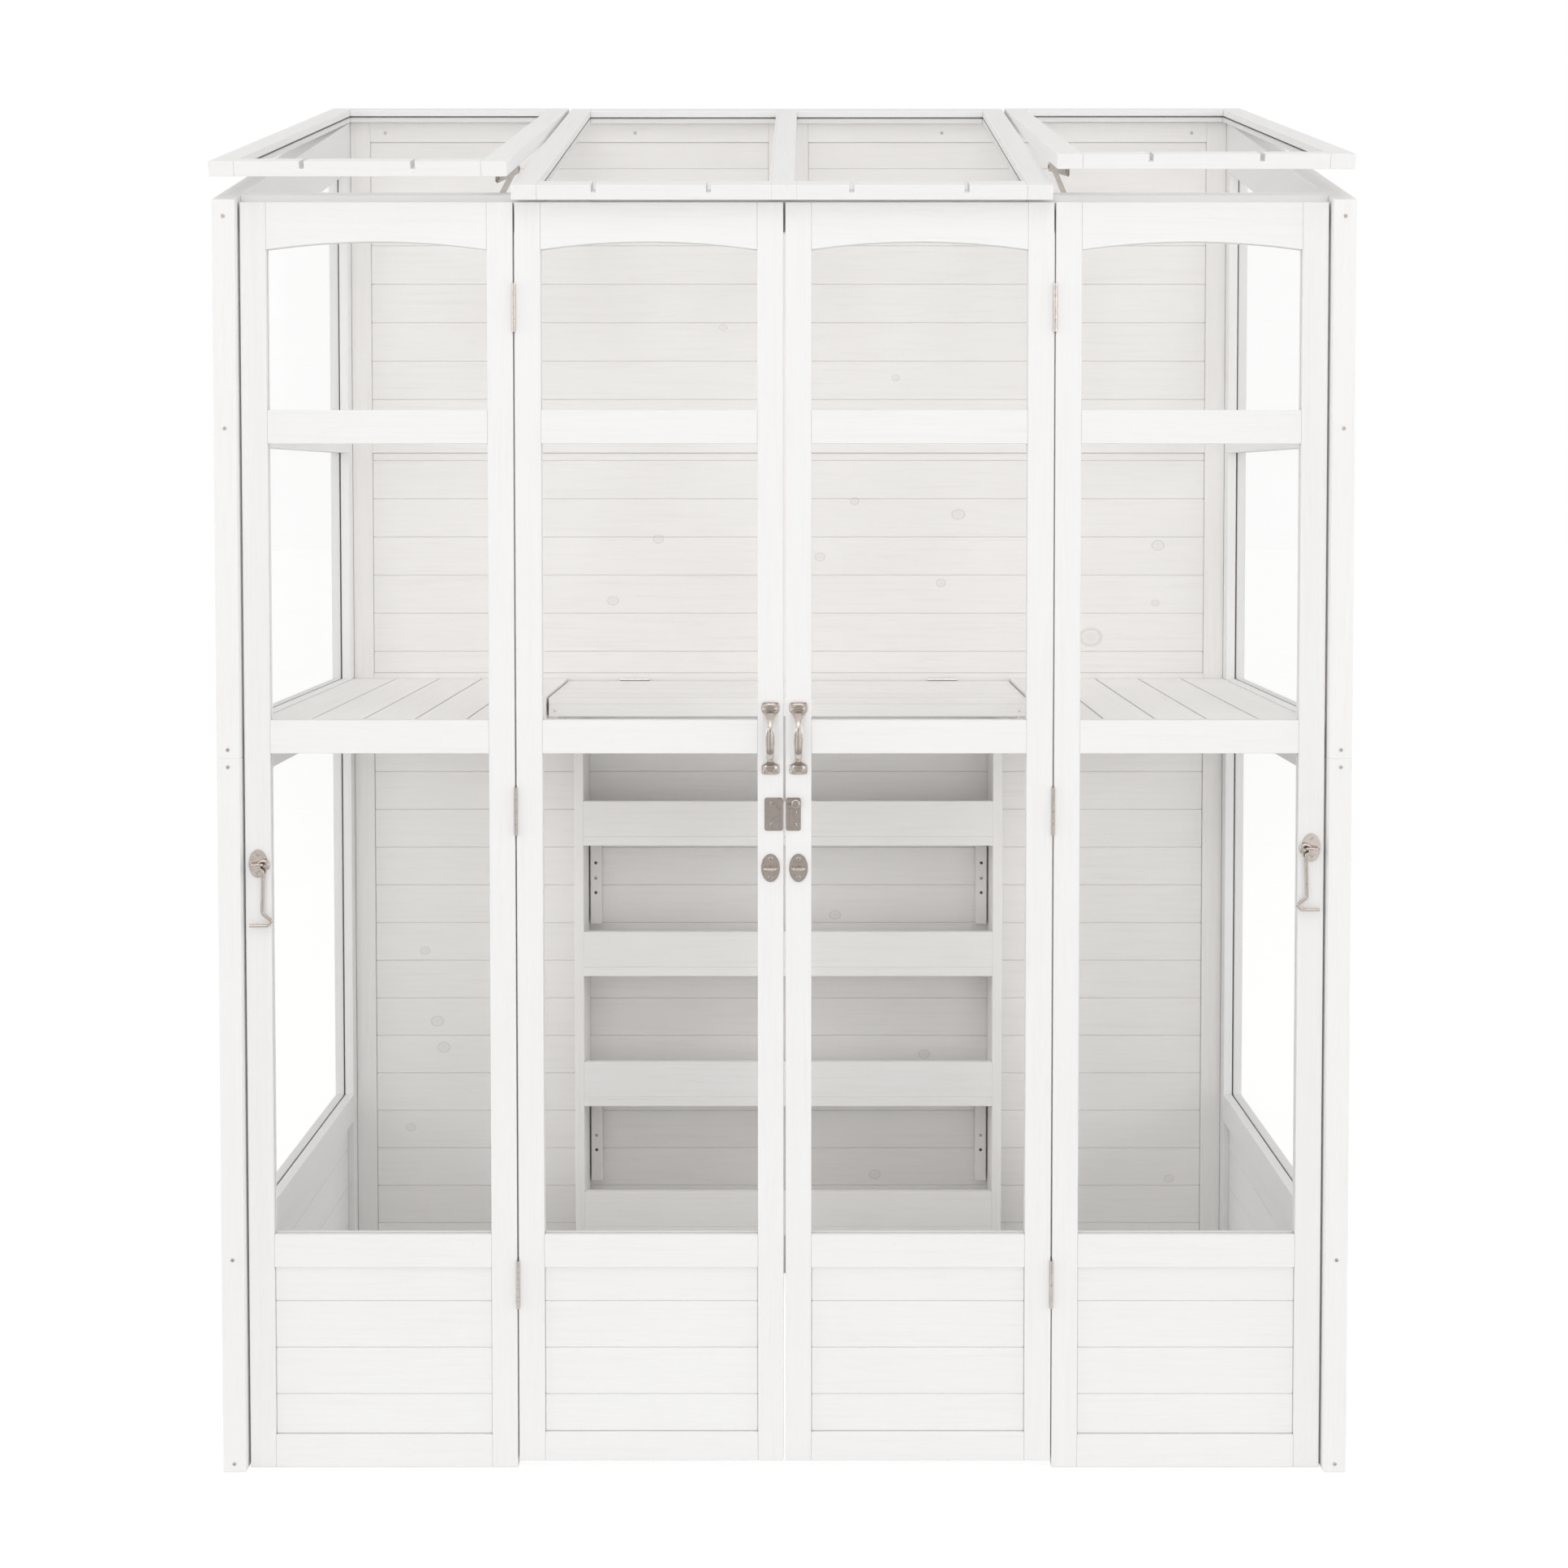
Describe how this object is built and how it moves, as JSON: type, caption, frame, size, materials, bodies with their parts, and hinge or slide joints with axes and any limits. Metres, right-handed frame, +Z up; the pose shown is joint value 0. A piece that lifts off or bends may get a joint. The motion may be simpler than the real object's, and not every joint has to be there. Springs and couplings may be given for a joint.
{
  "type": "garden_cabinet_greenhouse",
  "caption": "Wooden cabinet greenhouse with glazed doors, side walls and sloping lift-up roof flaps, boarded back, inner shelves and a pot rack",
  "frame": {"origin": "middle of the footprint on the ground, at the bounding box's bottom centre", "axes": "+X to the right seen from the front, +Y from the doors to the back wall, +Z up"},
  "size_m": [1.534, 0.7824, 1.9815],
  "materials": {
    "frame_timber": "white-stained softwood, faint grain",
    "inner_timber": "white-stained softwood, knots showing",
    "glazing": "clear, gloss",
    "hardware": "bright zinc and nickel plate"
  },
  "bodies": {
    "cabinet": {"right_wall_lower_frame": "frame_timber", "right_wall_upper_frame": "frame_timber", "right_wall_boards": "frame_timber", "right_wall_panes": "glazing", "left_wall_lower_frame": "frame_timber", "left_wall_upper_frame": "frame_timber", "left_wall_boards": "frame_timber", "left_wall_panes": "glazing", "back_wall_frame": "inner_timber", "back_wall_boards": "inner_timber", "top_beam": "frame_timber", "right_panel_frame": "frame_timber", "right_panel_boards": "frame_timber", "right_panel_panes": "glazing", "left_panel_frame": "frame_timber", "left_panel_boards": "frame_timber", "left_panel_panes": "glazing", "middle_light_frame": "frame_timber", "middle_light_panes": "glazing", "fixed_hinge_leaves": "hardware", "stay_post_brackets": "hardware", "right_shelf": "inner_timber", "left_shelf": "inner_timber", "rack_sides": "inner_timber", "rack_shelves": "inner_timber", "rack_lips": "inner_timber", "bearers_and_battens": "inner_timber", "hook_plates": "hardware", "timber_screws": "hardware"},
    "left_door": {"left_door_frame": "frame_timber", "left_door_boards": "frame_timber", "left_door_panes": "glazing", "left_door_hinge_leaves": "hardware", "left_handle": "hardware", "left_door_eye": "hardware", "latch_keeper": "hardware"},
    "right_door": {"right_door_frame": "frame_timber", "right_door_boards": "frame_timber", "right_door_panes": "glazing", "right_door_hinge_leaves": "hardware", "right_handle": "hardware", "right_door_eye": "hardware", "latch_plate": "hardware"},
    "bolt": {"latch_bolt": "hardware"},
    "left_cabin_hook": {"left_hook": "hardware"},
    "right_cabin_hook": {"right_hook": "hardware"},
    "left_flap": {"left_flap_frame": "frame_timber", "left_flap_pane": "glazing", "left_flap_fittings": "hardware"},
    "right_flap": {"right_flap_frame": "frame_timber", "right_flap_pane": "glazing", "right_flap_fittings": "hardware"},
    "left_upper_arm": {"left_stay_upper_arm": "hardware"},
    "left_lower_arm": {"left_stay_lower_arm": "hardware"},
    "right_upper_arm": {"right_stay_upper_arm": "hardware"},
    "right_lower_arm": {"right_stay_lower_arm": "hardware"},
    "folding_shelf": {"folding_shelf_slats": "inner_timber", "folding_shelf_frame": "inner_timber", "folding_shelf_fittings": "hardware"}
  },
  "joints": [
    {"name": "left_door_hinge", "type": "hinge", "parent": "cabinet", "child": "left_door", "pos_m": [-0.36475, -0.35904, 0.905], "axis": [0, 0, -1], "range_deg": [0, 165]},
    {"name": "right_door_hinge", "type": "hinge", "parent": "cabinet", "child": "right_door", "pos_m": [0.36475, -0.35904, 0.905], "axis": [0, 0, 1], "range_deg": [0, 165]},
    {"name": "left_flap_hinge", "type": "hinge", "parent": "cabinet", "child": "left_flap", "pos_m": [0, 0.38896, 1.96196], "axis": [-1, 0, 0], "range_deg": [-2.2, 20]},
    {"name": "left_upper_arm_pivot", "type": "hinge", "parent": "left_flap", "child": "left_upper_arm", "pos_m": [-0.38, -0.30886, 1.7678], "axis": [1, 0, 0], "range_deg": [-27.27, 3.44]},
    {"name": "left_lower_arm_pivot", "type": "hinge", "parent": "cabinet", "child": "left_lower_arm", "pos_m": [-0.38, -0.30654, 1.727], "axis": [1, 0, 0], "range_deg": [-3.43, 27.13]},
    {"name": "right_flap_hinge", "type": "hinge", "parent": "cabinet", "child": "right_flap", "pos_m": [0, 0.38896, 1.96196], "axis": [-1, 0, 0], "range_deg": [-2.9, 20]},
    {"name": "right_upper_arm_pivot", "type": "hinge", "parent": "right_flap", "child": "right_upper_arm", "pos_m": [0.38, -0.31118, 1.77634], "axis": [1, 0, 0], "range_deg": [-27.73, 4.45]},
    {"name": "right_lower_arm_pivot", "type": "hinge", "parent": "cabinet", "child": "right_lower_arm", "pos_m": [0.38, -0.30654, 1.727], "axis": [1, 0, 0], "range_deg": [-4.41, 27.44]},
    {"name": "latch_slide", "type": "slide", "parent": "right_door", "child": "bolt", "axis": [-1, 0, 0], "range_m": [0, 0.009]},
    {"name": "folding_shelf_hinge", "type": "hinge", "parent": "cabinet", "child": "folding_shelf", "pos_m": [0, 0.36596, 1.0185], "axis": [-1, 0, 0], "range_deg": [0, 88]},
    {"name": "left_hook_swing", "type": "hinge", "parent": "cabinet", "child": "left_cabin_hook", "pos_m": [-0.70707, -0.36314, 0.8337], "axis": [0, -1, 0], "range_deg": [-5, 95]},
    {"name": "right_hook_swing", "type": "hinge", "parent": "cabinet", "child": "right_cabin_hook", "pos_m": [0.70707, -0.36314, 0.8558], "axis": [0, 1, 0], "range_deg": [-5, 95]}
  ],
  "couplings": [
    {"joint": "left_upper_arm_pivot", "follows": "left_flap_hinge", "ratio": -1.3385},
    {"joint": "left_lower_arm_pivot", "follows": "left_flap_hinge", "ratio": 1.3314},
    {"joint": "right_upper_arm_pivot", "follows": "right_flap_hinge", "ratio": -1.3613},
    {"joint": "right_lower_arm_pivot", "follows": "right_flap_hinge", "ratio": 1.3469}
  ]
}
